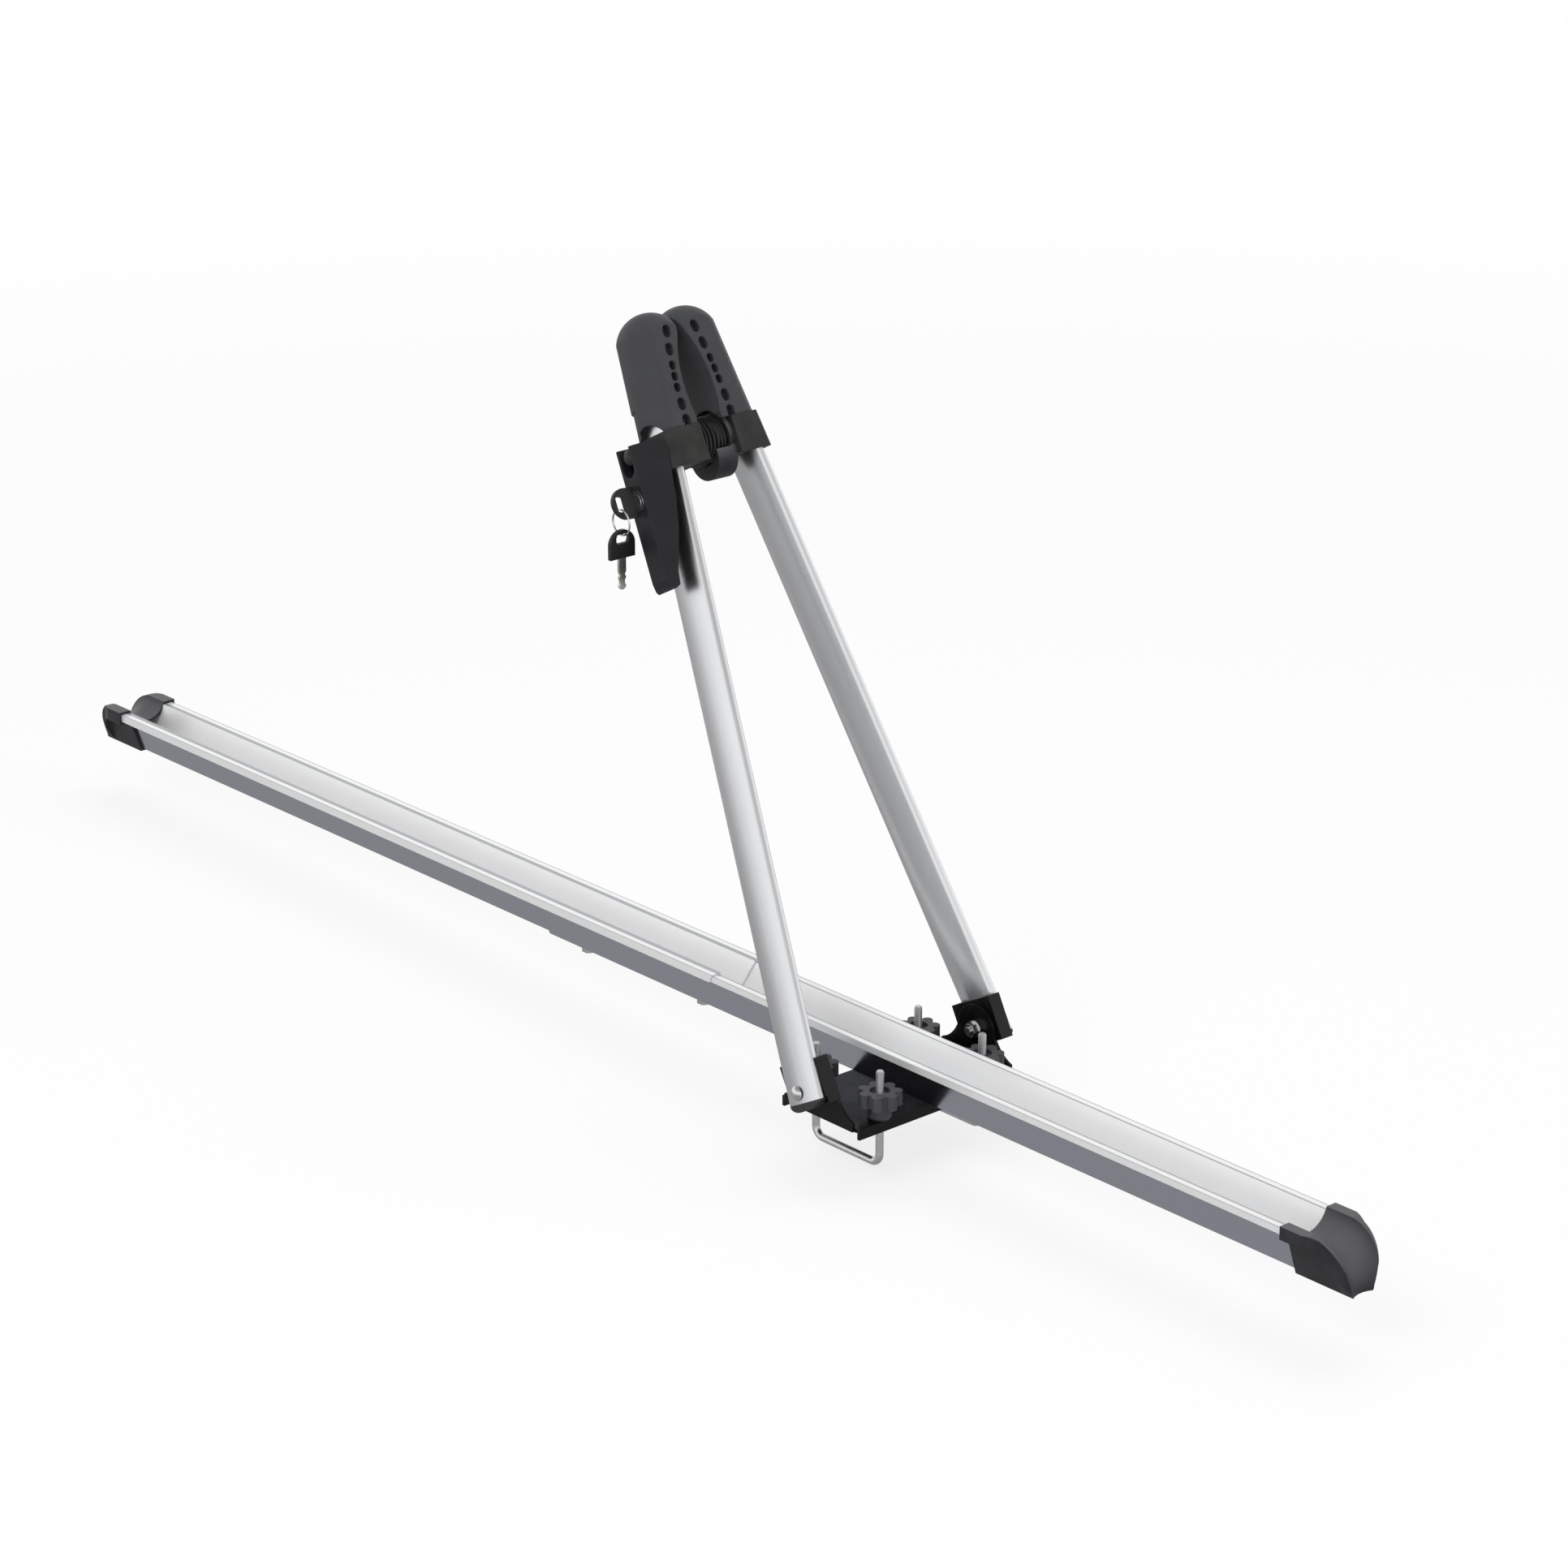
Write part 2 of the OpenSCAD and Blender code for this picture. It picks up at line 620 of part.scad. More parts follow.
module saddle() arm_plane() difference() {
  translate([-tube_w / 2 - side_gap - saddle_wall, over - pivot_y, -saddle_down])
    cube([tube_w + 2 * side_gap + 2 * saddle_wall, pivot_y - over - saddle_in, saddle_up + saddle_down]);
  tube_line() translate([-tube_w / 2 - side_gap, -tube_t, -tube_w])
    cube([tube_w + 2 * side_gap, tube_t * 1.5 + side_gap, 2 * tube_w]);
  along_y(bolt_d + 2 * slip_gap, -pivot_y, 0);
}
module near_saddle() color([0.12, 0.12, 0.13]) saddle();
module far_saddle() color([0.12, 0.12, 0.13]) far_side() saddle();

module tube(rod_hole_d) arm_plane() difference() {
  intersection() {
    difference() {
      oval_bar();
      oval_bar(-tube_wall);
    }
    between(-tube_low, tube_end);
  }
  along_y(bolt_d + 2 * side_gap, -pivot_y - tube_w, 0);
  translate([0, 0, rod_h]) along_y(rod_hole_d, -pivot_y, 0);
}
module near_tube() color("silver") tube(2 * rod_hole_r);
module far_tube() color("silver") far_side() tube(rod_d + 2 * slip_gap);

module plug() arm_plane() {
  intersection() {
    oval_bar();
    between(-tube_low - 2 * plug_h, -tube_low);
    translate([0, 0, -tube_low - plug_h]) xz_slab(-2 * pivot_y, 0) polygon(concat(
      [for (a = [-36:4:36]) plug_curve_r * [sin(a), 1 - cos(a)]], [[tube_w, tube_w], [-tube_w, tube_w]]));
  }
  intersection() {
    oval_bar(-tube_wall - slip_gap);
    between(-tube_low - over, plug_spigot - tube_low);
  }
}
module near_plug() color([0.14, 0.14, 0.15]) plug();
module far_plug() color([0.14, 0.14, 0.15]) far_side() plug();

// Block on the tube whose outer face lies along it, with its outer corners cut off
module collar(width, inner, hole_d) arm_plane() difference() {
  intersection() {
    tube_line() translate([0, 0, jaw_low]) linear_extrude(jaw_end - jaw_low) polygon(both([
      [width / 2 - collar_cut, -collar_face], [width / 2, collar_cut - collar_face], [width / 2, pivot_y]]));
    translate([-width, -pivot_y, collar_down]) cube([2 * width, pivot_y - inner, collar_up - collar_down]);
  }
  oval_bar(slip_gap);
  translate([0, 0, rod_h]) along_y(hole_d, -pivot_y, 0);
}
module near_collar() color([0.25, 0.24, 0.23]) {
  collar(near_collar_w, near_collar_in, 2 * rod_hole_r);
  rod_line() difference() {
    along_y(2 * guide_r, -near_collar_in - over, guide_h - near_collar_in);
    along_y(2 * rod_hole_r, -near_collar_in - 2 * over, guide_h);
  }
}
module far_collar() color([0.25, 0.24, 0.23]) difference() {
  far_side() collar(far_collar_w, far_collar_in, rod_d + 2 * slip_gap);
  rod_line() along_y(2 * seat_r, nut_seat, pivot_y);
}

// Section of a jaw: round back, straight flanks
module jaw_section(reach, shrink = 0) {
  mid = jaw_back_r - jaw_out;
  intersection() {
    translate([0, mid]) circle(jaw_back_r - shrink);
    translate([-jaw_w / 2, -jaw_out]) square([jaw_w, jaw_back_r]);
  }
  intersection() {
    translate([0, mid]) circle(jaw_back_r + dome_cross / 2);
    translate([-jaw_w / 2, mid]) square([jaw_w, reach - mid]);
  }
}
// Blind oval hole from both flanks
module cushion_hole(w, len) for (s = [-1, 1]) translate([s * jaw_w / 2, 0, 0]) {
  for (t = [-1, 1]) translate([0, 0, t * (len - w) / 2]) along_x(w, 2 * hole_depth);
  cube([2 * hole_depth, w * hole_waist, len - w], center = true);
}
module jaw_form(trim) {
  dome_r = jaw_back_r + dome_cross;
  dome_z = jaw_end - dome_r;
  path_y = hollow_depth - hole_inset + hole_path_r - trim;
  difference() {
    intersection() {
      translate([0, 0, jaw_low]) linear_extrude(jaw_end - jaw_low) jaw_section(jaw_reach - trim);
      union() {
        translate([0, jaw_back_r - jaw_out, dome_z]) sphere(dome_r);
        translate([-jaw_w, -jaw_w, jaw_low]) cube([2 * jaw_w, 3 * jaw_w, dome_z - jaw_low]);
      }
    }
    translate([0, hollow_depth + jaw_hollow_r - trim, hollow_mid]) along_x(2 * jaw_hollow_r, 2 * jaw_w);
    for (rise = hole_rises) translate([0, path_y, hollow_mid]) rotate([-asin(rise / hole_path_r), 0, 0])
      translate([0, -hole_path_r, 0])
        if (abs(rise) < hole_near) cushion_hole(small_hole_w, small_hole_len);
        else cushion_hole(hole_w, hole_len);
  }
}
module jaw(trim = 0) arm_plane() difference() {
  intersection() {
    tube_line() jaw_form(trim);
    translate([-jaw_w, -pivot_y, collar_up]) cube([2 * jaw_w, 2 * pivot_y, jaw_end]);
  }
  intersection() {
    oval_bar(slip_gap);
    between(0, tube_end + over);
  }
  translate([0, 0, rod_h]) along_y(2 * spring_room_r, -far_collar_in - cup_flange_t, pivot_y);
}
module near_jaw() color([0.2, 0.2, 0.21]) difference() {
  jaw(near_trim);
  arm_plane() tube_line() {
    translate([arch_x, 0, collar_up - arch_sink]) along_y(2 * arch_r, -2 * jaw_out, -tube_nose);
    translate([0, 0, jaw_low]) linear_extrude(ledge_top - jaw_low) difference() {
      translate([-jaw_w, -2 * jaw_out]) square([jaw_w + ledge_x, 2 * jaw_out]);
      jaw_section(jaw_reach, ledge);
    }
  }
}
module far_jaw() color([0.2, 0.2, 0.21]) far_side() jaw();

module clamp_rod() color("lightgray") rod_line()
  along_y(rod_d, -lever_y - barrel_d / 2 - rod_end_h, nut_seat + washer_t + nut_h);

module rod_nut() color("gray") rod_line() translate([0, nut_seat, 0]) rotate([-90, 0, 0]) difference() {
  union() {
    cylinder(r = washer_r, h = washer_t);
    translate([0, 0, washer_t]) hex(nut_h + over);
    translate([0, 0, washer_t + nut_h + over]) dome(nut_af / 2, head_h);
  }
  translate([0, 0, -over]) cylinder(d = rod_d + 2 * thread_gap, h = washer_t + nut_h + over + slip_gap);
}

module rod_end_nut() color([0.3, 0.29, 0.28]) rod_line()
  translate([0, -lever_y - barrel_d / 2 - run_gap, 0]) rotate([90, 0, 0]) difference() {
    union() {
      cylinder(r = rod_end_r, h = rod_end_h);
      translate([0, 0, rod_end_h]) dome(rod_end_r, rod_end_dome);
    }
    translate([0, 0, -over]) cylinder(d = rod_d + 2 * thread_gap, h = over + rod_end_h + slip_gap);
  }

module spring_cup() color([0.15, 0.15, 0.15]) rod_line() difference() {
  union() {
    along_y(2 * cup_flange_r, far_collar_in - cup_flange_t, far_collar_in);
    along_y(2 * cup_r, cup_in, far_collar_in);
    difference() {
      translate([0, 0, -chin_drop]) along_y(2 * chin_r, chin_in, far_collar_in);
      along_y(2 * chin_room_r, chin_in - over, far_collar_in - cup_flange_t);
    }
  }
  along_y(rod_d + 2 * slip_gap, cup_in - over, far_collar_in + over);
}

// Spring: one wire swept along a helix about the rod
spring_count = spring_turns * spring_rings;
spring_rise = spring_to - spring_from;
function coil_at(i) = let (turn = 360 * i / spring_rings)
  [spring_r * cos(turn), spring_from + spring_rise * i / spring_count, spring_r * sin(turn)];
function coil_ring(i) =
  let (turn = 360 * i / spring_rings, mid = coil_at(i), out = [cos(turn), 0, sin(turn)])
  [for (k = [0:spring_sides - 1]) mid + spring_wire / 2 * (cos(60 * k) * out + sin(60 * k) * [0, 1, 0])];
spring_gap = min([for (i = [0:spring_count - spring_rings], j = [-1:1])
  i + spring_rings + j > spring_count ? spring_rise
    : norm(coil_at(i + spring_rings + j) - coil_at(i))]) - spring_wire;
echo(least_gap_between_turns = spring_gap);
module clamp_spring() color([0.1, 0.1, 0.1]) rod_line() polyhedron(
  points = [for (i = [0:spring_count]) each coil_ring(i)],
  faces = concat(
    [for (k = [1:spring_sides - 2]) [0, k + 1, k]],
    [for (i = [0:spring_count - 1], k = [0:spring_sides - 1], half = [0, 1])
      let (a = i * spring_sides + k, b = i * spring_sides + (k + 1) % spring_sides, up = spring_sides)
      half == 0 ? [a, b, b + up] : [a, b + up, a + up]],
    [for (k = [1:spring_sides - 2]) let (end = spring_count * spring_sides) [end, end + k, end + k + 1]]));

module lever_barrel() color("gray") difference() {
  lever_line() along_x(barrel_d, barrel_len);
  rod_line() along_y(rod_d + 2 * slip_gap, -lever_y - barrel_d, -lever_y + barrel_d);
}

// Side view of the lever: cam round the barrel, then a handle that thins to its tip
module lever_side() polygon(concat(
  [for (a = [0:10:lever_swing]) (cam_r - (cam_throw + cam_relief) * a / lever_swing) * [cos(a), sin(a)]],
  [[-web_y - over, lever_top], [-web_y - over, lever_tip[0][1] - lever_len]],
  [for (p = lever_tip) p - [web_y, lever_len]],
  [[lever_waist_y, lever_waist - lever_len], [cam_r - lever_ease, lever_hip - lever_len]]));
// Lever's channel: narrow outer face and flanks that spread towards the arm
module lever_channel(inset) translate([0, 0, -2 * lever_len]) linear_extrude(3 * lever_len) polygon(both([
  [flank_x(inset - web_y) - inset * flank_n, inset - web_y],
  [flank_x(2 * cam_r) - inset * flank_n, 2 * cam_r]]));
module cam_lever() color([0.16, 0.16, 0.17]) lever_line() difference() {
  intersection() {
    lever_channel(0);
    translate([-lever_w, 0, 0]) yz_slab(2 * lever_w) lever_side();
  }
  intersection() {
    lever_channel(lever_wall);
    translate([-lever_w, -lever_w, lever_wall - lever_len])
      cube([2 * lever_w, 2 * lever_w, lever_len - 2 * lever_wall - slot_mid - slot_w / 2]);
  }
  translate([-slot_w / 2, -4 * cam_r, -slot_mid]) cube([slot_w, 8 * cam_r, 4 * cam_r]);
  translate([0, 0, -slot_mid]) along_y(slot_w, -4 * cam_r, 4 * cam_r);
  along_x(barrel_d + 2 * run_gap, barrel_len + 2 * run_gap);
  translate([0, 0, -lock_drop]) along_y(lock_d + 2 * slip_gap, -2 * lock_face, 0);
}

module lock_housing() color("silver") lever_line() translate([0, 0, -lock_drop]) difference() {
  along_y(lock_d, -lock_face, lock_depth - lock_face);
  along_y(lock_plug_d + 2 * run_gap, -lock_face - over, lock_depth - lock_floor - lock_face);
}

module lock_plug() color("lightgray") lever_line() translate([0, 0, -lock_drop]) difference() {
  along_y(lock_plug_d, -lock_face - plug_proud, lock_depth - lock_floor - lock_face - slip_gap);
  translate([-blade_t / 2 - key_gap, -lock_face - over, -blade_w / 2 - key_gap])
    cube([blade_t + 2 * key_gap, neck_len + blade_len + over, blade_w + 2 * key_gap]);
}

// Key lying flat: bow behind zero, blade ahead of it
module key_bow() {
  round_r = key_w / 2 + slip_gap;
  difference() {
    union() {
      intersection() {
        translate([round_r - bow_len, 0]) circle(round_r);
        translate([-bow_len, -key_w / 2]) square([bow_len, key_w]);
      }
      translate([round_r - bow_len, -key_w / 2]) square([bow_len - round_r, key_w]);
    }
    translate([bow_rim + bow_hole_w / 2 - bow_len, 0]) intersection() {
      circle(d = bow_hole_len);
      square([bow_hole_w, bow_hole_len], center = true);
    }
  }
}
module key_blade() {
  tip = blade_w / 3;
  end = neck_len + blade_len;
  polygon(both([[0, -over], [blade_w / 2, -over], [blade_w / 2, neck_len],
    [blade_w / 2, neck_len + 2 * tip], [blade_w / 2 - notch, neck_len + 3 * tip],
    [blade_w / 2, neck_len + 4 * tip], [blade_w / 2 - notch, neck_len + 5 * tip],
    [blade_w / 2 - notch, neck_len + 6 * tip], [blade_w / 2, neck_len + 7 * tip],
    [blade_w / 2, end - tip], [blade_w / 2 - tip, end]]));
}
module key() {
  translate([0, 0, -key_t / 2]) linear_extrude(key_t) key_bow();
  translate([0, 0, -blade_t / 2]) linear_extrude(blade_t) rotate(-90) key_blade();
}

module lock_key() color([0.15, 0.15, 0.15]) lever_line() translate([0, -key_y, -lock_drop])
  rotate([90, 0, 90]) key();

module key_ring() color("silver") translate(ring_mid) rotate([90, 0, 0]) rotate_extrude()
  translate([ring_r, 0]) circle(d = ring_wire);

module spare_key() color([0.15, 0.15, 0.15]) translate(spare_place) rotate([0, 90, 0]) key();

rear_rail();
front_rail();
rear_end_cap();
front_end_cap();
splice_screws();
splice_nuts();
base_bracket();
bar_pad();
rail_screws();
rail_nuts();
knob_washers();
near_ubolt();
far_ubolt();
near_front_knob();
near_rear_knob();
far_front_knob();
far_rear_knob();
near_front_insert();
near_rear_insert();
far_front_insert();
far_rear_insert();
pivot_bolts();
pivot_nuts();
near_saddle();
far_saddle();
near_tube();
far_tube();
near_plug();
far_plug();
near_collar();
far_collar();
near_jaw();
far_jaw();
clamp_rod();
rod_nut();
rod_end_nut();
spring_cup();
clamp_spring();
lever_barrel();
cam_lever();
lock_housing();
lock_plug();
lock_key();
key_ring();
spare_key();
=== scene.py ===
import math

import bpy
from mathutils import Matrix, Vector


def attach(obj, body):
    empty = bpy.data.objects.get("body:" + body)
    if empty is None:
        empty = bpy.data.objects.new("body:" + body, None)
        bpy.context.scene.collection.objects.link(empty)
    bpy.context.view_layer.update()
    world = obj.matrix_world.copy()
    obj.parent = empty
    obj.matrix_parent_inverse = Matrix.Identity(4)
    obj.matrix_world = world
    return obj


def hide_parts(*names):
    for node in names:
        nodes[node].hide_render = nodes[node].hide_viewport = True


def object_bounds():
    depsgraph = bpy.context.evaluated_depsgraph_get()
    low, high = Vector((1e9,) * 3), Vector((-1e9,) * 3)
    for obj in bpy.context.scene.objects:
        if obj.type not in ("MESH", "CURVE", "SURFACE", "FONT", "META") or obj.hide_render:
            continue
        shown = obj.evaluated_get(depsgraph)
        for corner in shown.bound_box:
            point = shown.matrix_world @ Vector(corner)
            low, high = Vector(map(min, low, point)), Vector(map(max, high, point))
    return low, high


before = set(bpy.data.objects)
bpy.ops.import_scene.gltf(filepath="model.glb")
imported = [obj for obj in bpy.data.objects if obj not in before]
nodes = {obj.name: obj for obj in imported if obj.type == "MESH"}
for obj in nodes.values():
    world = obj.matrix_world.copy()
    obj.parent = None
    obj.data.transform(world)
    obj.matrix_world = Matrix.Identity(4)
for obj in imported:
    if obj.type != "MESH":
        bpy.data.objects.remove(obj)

cadBox = [[round(float(x), 6) for x in corner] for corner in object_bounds()]
print("frame loaded:", len(nodes), "nodes")

scene = bpy.context.scene
scene.view_settings.view_transform = "Standard"
fullTurn = 2 * math.pi


# one shader value; plain Python sums on it add Math nodes
class Value:
    def __init__(self, tree, socket):
        self.tree, self.socket = tree, socket

    def calc(self, operation, other=0.0, swapped=False):
        first, second = (other, self) if swapped else (self, other)
        return Graph(self.tree).node("ShaderNodeMath", {"operation": operation}, {0: first, 1: second})

    def __add__(self, other): return self.calc("ADD", other)
    def __radd__(self, other): return self.calc("ADD", other, True)
    def __sub__(self, other): return self.calc("SUBTRACT", other)
    def __rsub__(self, other): return self.calc("SUBTRACT", other, True)
    def __mul__(self, other): return self.calc("MULTIPLY", other)
    def __rmul__(self, other): return self.calc("MULTIPLY", other, True)
    def __truediv__(self, other): return self.calc("DIVIDE", other)
    def __abs__(self): return self.calc("ABSOLUTE")

    # 0 below low, 1 above high, soft between
    def step(self, low, high):
        return Graph(self.tree).node("ShaderNodeMapRange", {"interpolation_type": "SMOOTHSTEP"},
                                     {"Value": self, "From Min": low, "From Max": high})


# a node tree and the one method that adds nodes to it
class Graph:
    def __init__(self, tree):
        self.tree = tree

    def node(self, kind, settings=None, inputs=None, out=0):
        made = self.tree.nodes.new(kind)
        for key, item in (settings or {}).items():
            setattr(made, key, item)
        for key, item in (inputs or {}).items():
            if isinstance(item, Value):
                self.tree.links.new(item.socket, made.inputs[key])
            else:
                made.inputs[key].default_value = item
        return Value(self.tree, made.outputs[out]) if len(made.outputs) else made

    def parts(self, vector):
        split = self.node("ShaderNodeSeparateXYZ", None, {0: vector}).socket.node
        return [Value(self.tree, socket) for socket in split.outputs]

    def vector(self, x, y, z):
        return self.node("ShaderNodeCombineXYZ", None, {0: x, 1: y, 2: z})


# a Geometry Nodes tree with one named input for each size
class ShapeTree(Graph):
    def __init__(self, name, sizes):
        super().__init__(bpy.data.node_groups.new(name, "GeometryNodeTree"))
        self.name, self.sizes = name, sizes
        self.tree.interface.new_socket("Geometry", in_out="OUTPUT", socket_type="NodeSocketGeometry")
        self.sockets = {}
        for key, item in sizes.items():
            kind = "NodeSocketInt" if isinstance(item, int) else "NodeSocketFloat"
            self.sockets[key] = self.tree.interface.new_socket(key, in_out="INPUT", socket_type=kind).identifier
        self.entry = self.node("NodeGroupInput").socket.node

    def size(self, key):
        return Value(self.tree, self.entry.outputs[key])

    # closes the tree and turns its result into a plain mesh object
    def build(self, shape, finish):
        shape = self.node("GeometryNodeRealizeInstances", None, {0: shape})
        shape = self.node("GeometryNodeSetShadeSmooth", None, {0: shape})
        shape = self.node("GeometryNodeSetMaterial", None, {0: shape, "Material": finish})
        self.node("NodeGroupOutput", None, {0: shape})
        piece = bpy.data.objects.new(self.name, bpy.data.meshes.new(self.name))
        scene.collection.objects.link(piece)
        modifier = piece.modifiers.new("shape", "NODES")
        modifier.node_group = self.tree
        for key, item in self.sizes.items():
            modifier[self.sockets[key]] = item
        graph = bpy.context.evaluated_depsgraph_get()
        mesh = bpy.data.meshes.new_from_object(piece.evaluated_get(graph), depsgraph=graph)
        piece.modifiers.clear()
        piece.data = mesh
        return piece


# short names for the Principled shader's sockets
spoken = {"colour": "Base Color", "rough": "Roughness", "metal": "Metallic", "coat": "Coat Weight",
          "coatRough": "Coat Roughness", "normal": "Normal", "shine": "Specular IOR Level"}
# the Bevel node's samples, and how far the normal turns at an edge
edgeLook = {"samples": 6, "turn": (0.004, 0.16)}


# one material with its Principled shader
class Finish(Graph):
    def __init__(self, name):
        self.material = bpy.data.materials.new(name)
        self.material.use_nodes = True
        super().__init__(self.material.node_tree)
        self.shader = self.tree.nodes["Principled BSDF"]
        self.place = self.node("ShaderNodeTexCoord", out="Object")

    def noise(self, scale, detail=3.0, rough=0.5, stretch=None, turn=(0, 0, 0)):
        place = self.place
        if stretch:
            place = self.node("ShaderNodeMapping", None, {"Vector": place, "Rotation": turn, "Scale": stretch})
        return self.node("ShaderNodeTexNoise", None,
                         {"Vector": place, "Scale": scale, "Detail": detail, "Roughness": rough})

    def blend(self, mask, first, second):
        return self.node("ShaderNodeMix", {"data_type": "RGBA", "clamp_factor": True},
                         {0: mask, 6: self.colour(first), 7: self.colour(second)}, out=2)

    def colour(self, item):
        return item if isinstance(item, Value) else (*item, 1.0)

    # how near the surface is to a sharp edge, 0 to 1, and the softened normal
    def edges(self, radius):
        soft = self.node("ShaderNodeBevel", {"samples": edgeLook["samples"]}, {"Radius": radius})
        flat = self.node("ShaderNodeNewGeometry", out="True Normal")
        turn = self.node("ShaderNodeVectorMath", {"operation": "DOT_PRODUCT"}, {0: soft, 1: flat}, out="Value")
        return (1.0 - turn).step(*edgeLook["turn"]), soft

    def bump(self, height, strength, depth, normal):
        return self.node("ShaderNodeBump", None,
                         {"Height": height, "Strength": strength, "Distance": depth, "Normal": normal})

    def put(self, **sockets):
        for key, item in sockets.items():
            socket = self.shader.inputs[spoken[key]]
            if isinstance(item, Value):
                self.tree.links.new(item.socket, socket)
            else:
                socket.default_value = (*item, 1.0) if isinstance(item, tuple) else item
        return self.material


# satin anodised aluminium; drawn stretches the streaks along the piece
anodised = {"rough": 0.33, "edge": 0.0005, "blast": 1500.0, "depth": 0.00006}
tubeLook = {"light": (0.80, 0.805, 0.815), "dull": (0.72, 0.73, 0.745), "wearAndEdgeShade": (0.88, 0.88, 0.89),
            "drawn": (900, 900, 6), "lean": math.radians(27.7), "splay": math.radians(6.7)}
# a rail is blasted and duller inside; its outer walls are painted a darker blue-grey as a painted reflection of a dark
# floor, and its lip, given by two half widths, has a painted shade line along each edge
railLook = {"light": (0.91, 0.912, 0.915), "dull": (0.87, 0.873, 0.88), "wearAndEdgeShade": (0.30, 0.31, 0.33),
            "drawn": (6, 900, 900), "outsideDarkReflection": (0.55, 0.575, 0.645), "insideMetal": 0.4,
            "rearLip": (0.0210, 0.0269), "frontLip": (0.0195, 0.0254), "outsideTop": (0.0375, 0.0385),
            "lipFoot": (0.040, 0.042), "innerLine": (0.0003, 0.0008), "outerLine": (0.0012, 0.0006)}


# a rail gives its lip, a tube the turn that its streaks follow
def anodisedMetal(name, turn=(0, 0, 0), lip=None):
    f = Finish(name)
    look = railLook if lip else tubeLook
    streaks = f.noise(1.0, 2.0, 0.5, look["drawn"], turn)
    blast = f.noise(anodised["blast"], 2.0, 0.6)
    cloud = f.noise(14.0, 3.0, 0.5)
    wearAndEdgeShade, soft = f.edges(anodised["edge"])
    tone = f.blend((streaks * 0.2 + cloud * 0.2 + blast * 0.6).step(0.3, 0.7), look["dull"], look["light"])
    rough = anodised["rough"] + 0.10 * (blast - 0.5) + 0.08 * (streaks - 0.5)
    if lip:
        y, z = f.parts(f.place)[1:]
        facing = f.parts(f.node("ShaderNodeTexCoord", out="Normal"))
        outward = (facing[1] * y.calc("SIGN")).step(0.25, 0.45) * (1.0 - z.step(*look["outsideTop"]))
        # outward-facing walls are painted a darker blue-grey: a painted reflection of a dark floor, not the metal's
        # own tone
        tone = f.blend(outward, tone, look["outsideDarkReflection"])
        rough = rough - 0.12 * outward
        metal = look["insideMetal"] + (1.0 - look["insideMetal"]) * outward
        side = abs(y)
        # on a rail the sharp edges and a thin line along each lip edge are painted dark: painted shade where the
        # rounded lip turns away
        top = facing[2].step(0.6, 0.9) * z.step(*look["lipFoot"])
        inner = 1.0 - side.step(*(lip[0] + gap for gap in look["innerLine"]))
        outer = side.step(*(lip[1] - gap for gap in look["outerLine"]))
        wearAndShadeMask = (wearAndEdgeShade * 0.6).calc("MAXIMUM", top * (inner + outer) * 0.85)
    else:
        metal, wearAndShadeMask = 1.0, wearAndEdgeShade * 0.5
    # blends in the edge colour: paler wear on a tube, dark painted shade on a rail
    tone = f.blend(wearAndShadeMask, tone, look["wearAndEdgeShade"])
    height = streaks * 0.2 + blast * 0.8
    return f.put(colour=tone, rough=rough, metal=metal, normal=f.bump(height, 0.25, anodised["depth"], soft))


# moulded pieces: colour, paler rubbed colour, roughness, grain per metre and what differs from the usual
mouldings = {
    "capPlastic": {"tone": (0.016, 0.0168, 0.019), "pale": (0.098, 0.099, 0.105), "rough": 0.50, "grain": 900.0,
                   "mottle": 0.15, "shine": 0.34, "dustAndTopLight": 0.9},
    "padRubber": {"tone": (0.014, 0.014, 0.014), "pale": (0.045, 0.045, 0.043), "rough": 0.78, "grain": 700.0,
                  "mottle": 0.4, "shine": 0.25},
    "knobPlastic": {"tone": (0.054, 0.0545, 0.059), "pale": (0.075, 0.075, 0.079), "rough": 0.50, "grain": 800.0,
                    "wear": 0.8, "mottle": 0.5, "shine": 0.35},
    "collarPlastic": {"tone": (0.017, 0.0167, 0.016), "pale": (0.045, 0.044, 0.042), "rough": 0.55, "grain": 700.0,
                      "mottle": 0.55, "shine": 0.3},
    "jawRubber": {"tone": (0.044, 0.045, 0.0495), "pale": (0.072, 0.073, 0.079), "rough": 0.56, "grain": 1000.0,
                  "edge": 0.0016, "mottle": 0.3, "shine": 0.32},
    "leverPlastic": {"tone": (0.015, 0.0155, 0.0175), "pale": (0.034, 0.036, 0.042), "rough": 0.42, "grain": 1100.0,
                     "edge": 0.0016, "mottle": 0.15, "shine": 0.22},
    "springBlack": {"tone": (0.012, 0.012, 0.013), "pale": (0.06, 0.06, 0.062), "rough": 0.36, "grain": 900.0,
                    "edge": 0.0003, "shine": 0.4},
    "endNutBlack": {"tone": (0.018, 0.0175, 0.017), "pale": (0.08, 0.077, 0.074), "rough": 0.40, "grain": 900.0,
                    "edge": 0.0005, "shine": 0.4},
}
mouldingDepth = 0.00012


